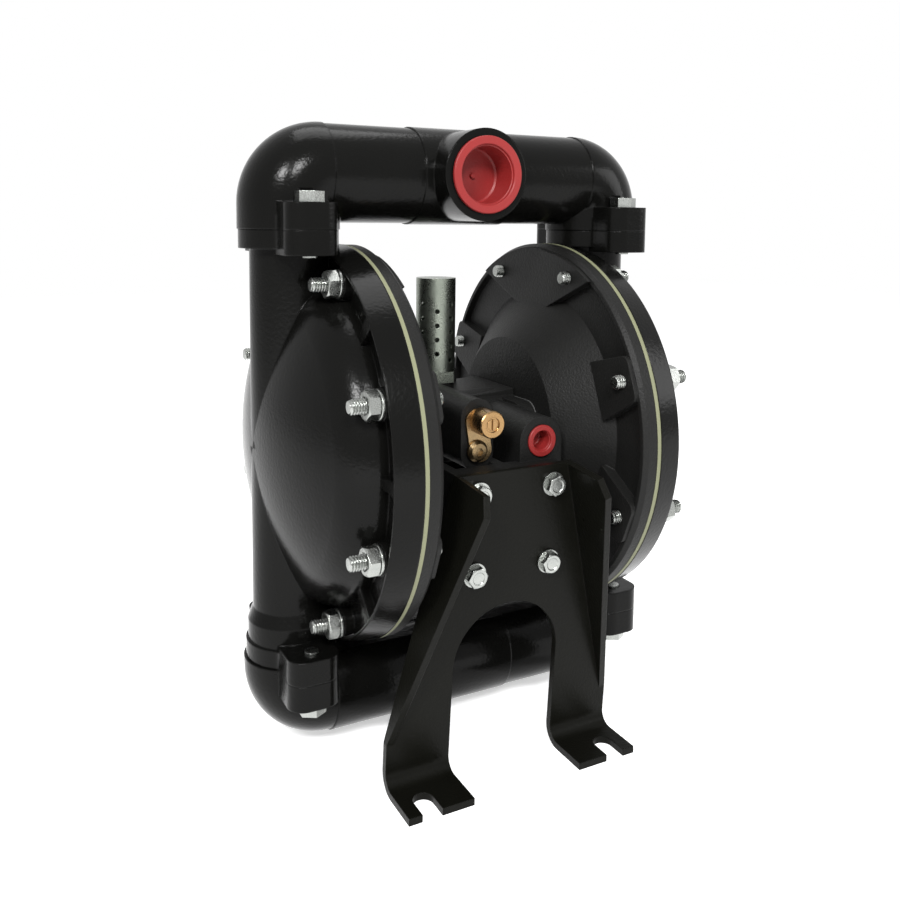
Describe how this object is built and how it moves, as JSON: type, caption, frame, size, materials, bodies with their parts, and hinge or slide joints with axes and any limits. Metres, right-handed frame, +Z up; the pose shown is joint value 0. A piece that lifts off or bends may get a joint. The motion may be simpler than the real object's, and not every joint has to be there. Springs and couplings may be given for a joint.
{
  "type": "air operated diaphragm pump",
  "caption": "Air operated double diaphragm pump with domed liquid chambers, cross manifolds, ball valves, perforated exhaust muffler, plugged ports and folded bracket legs.",
  "frame": {"origin": "middle of the footprint, on the floor under the feet", "axes": "+X along the diaphragm rod towards the right chamber seen from the front; -Y is the front with the outlet port and the air inlet; +Z is up"},
  "size_m": [0.3244, 0.281, 0.4494],
  "materials": {
    "cap_enamel": "satin black enamel on cast iron",
    "air_casting": "matt black paint on cast aluminium",
    "leg_paint": "semi-matt black paint on folded steel plate",
    "zinc_steel": "bright zinc plate",
    "yellow_zinc": "yellow passivated zinc plate",
    "muffler_steel": "dull zinc plate",
    "stainless": "ground and polished stainless steel",
    "brass": "turned brass",
    "bronze": "plain bronze bearing",
    "diaphragm_rubber": "pale moulded elastomer",
    "black_rubber": "matt moulded rubber",
    "gasket_fibre": "pressed gasket sheet",
    "ball_polymer": "moulded polymer",
    "valve_aluminium": "plain machined aluminium",
    "red_plastic": "moulded polyethylene"
  },
  "bodies": {
    "pump": {"fluid_cap_left": "cap_enamel", "fluid_cap_right": "cap_enamel", "air_cap_left": "air_casting", "air_cap_right": "air_casting", "diaphragm_left": "diaphragm_rubber", "diaphragm_right": "diaphragm_rubber", "centre_body": "air_casting", "air_cap_gaskets": "gasket_fibre", "air_cap_screws": "zinc_steel", "rim_studs": "zinc_steel", "rim_washers": "zinc_steel", "rim_nuts": "zinc_steel", "rod_bushes": "bronze", "rod_seals": "black_rubber", "outlet_manifold": "cap_enamel", "inlet_manifold": "cap_enamel", "outlet_flange_bolts": "zinc_steel", "inlet_flange_bolts": "zinc_steel", "outlet_seats": "ball_polymer", "inlet_seats": "ball_polymer", "leg_front": "leg_paint", "leg_rear": "leg_paint", "leg_bolts": "zinc_steel", "leg_washers": "zinc_steel", "air_valve_body": "valve_aluminium", "air_valve_gasket": "gasket_fibre", "air_valve_screws": "zinc_steel", "air_valve_sleeve": "bronze", "air_valve_caps": "valve_aluminium", "muffler_tube": "muffler_steel", "muffler_base": "muffler_steel", "bleed_valve": "brass", "bleed_strap": "yellow_zinc", "strap_screw": "zinc_steel"},
    "rod": {"diaphragm_rod": "stainless", "inner_plate_left": "zinc_steel", "inner_plate_right": "zinc_steel", "outer_plate_left": "stainless", "outer_plate_right": "stainless", "plate_bolts": "stainless"},
    "pilot": {"pilot_pin": "stainless"},
    "spool": {"air_valve_spool": "stainless"},
    "outlet_ball_l": {"outlet_ball_left": "ball_polymer"},
    "outlet_ball_r": {"outlet_ball_right": "ball_polymer"},
    "inlet_ball_l": {"inlet_ball_left": "ball_polymer"},
    "inlet_ball_r": {"inlet_ball_right": "ball_polymer"},
    "needle": {"bleed_needle": "brass"},
    "outlet_cap": {"outlet_port_cap": "red_plastic"},
    "inlet_cap": {"air_inlet_cap": "red_plastic"}
  },
  "joints": [
    {"name": "rod_stroke", "type": "slide", "parent": "pump", "child": "rod", "axis": [1, 0, 0], "range_m": [-0.016, 0.016], "deforming": ["diaphragm_left", "diaphragm_right"]},
    {"name": "pilot_shift", "type": "slide", "parent": "pump", "child": "pilot", "axis": [1, 0, 0], "range_m": [-0.004, 0.004]},
    {"name": "spool_shift", "type": "slide", "parent": "pump", "child": "spool", "axis": [1, 0, 0], "range_m": [-0.005, 0.005]},
    {"name": "outlet_ball_left_lift", "type": "slide", "parent": "pump", "child": "outlet_ball_l", "axis": [0, 0, 1], "range_m": [0, 0.008]},
    {"name": "outlet_ball_right_lift", "type": "slide", "parent": "pump", "child": "outlet_ball_r", "axis": [0, 0, 1], "range_m": [0, 0.008]},
    {"name": "inlet_ball_left_lift", "type": "slide", "parent": "pump", "child": "inlet_ball_l", "axis": [0, 0, 1], "range_m": [0, 0.008]},
    {"name": "inlet_ball_right_lift", "type": "slide", "parent": "pump", "child": "inlet_ball_r", "axis": [0, 0, 1], "range_m": [0, 0.008]},
    {"name": "needle_turn", "type": "hinge", "parent": "pump", "child": "needle", "pos_m": [-0.0126, -0.08, 0.244], "axis": [0, -1, 0], "range_deg": [0, 270]},
    {"name": "outlet_cap_pull", "type": "slide", "parent": "pump", "child": "outlet_cap", "axis": [0, -1, 0], "range_m": [0, 0.06]},
    {"name": "air_inlet_cap_pull", "type": "slide", "parent": "pump", "child": "inlet_cap", "axis": [0, -1, 0], "range_m": [0, 0.03]}
  ],
  "couplings": [
    {"joint": "pilot_shift", "follows": "rod_stroke", "ratio": 0.25}
  ]
}
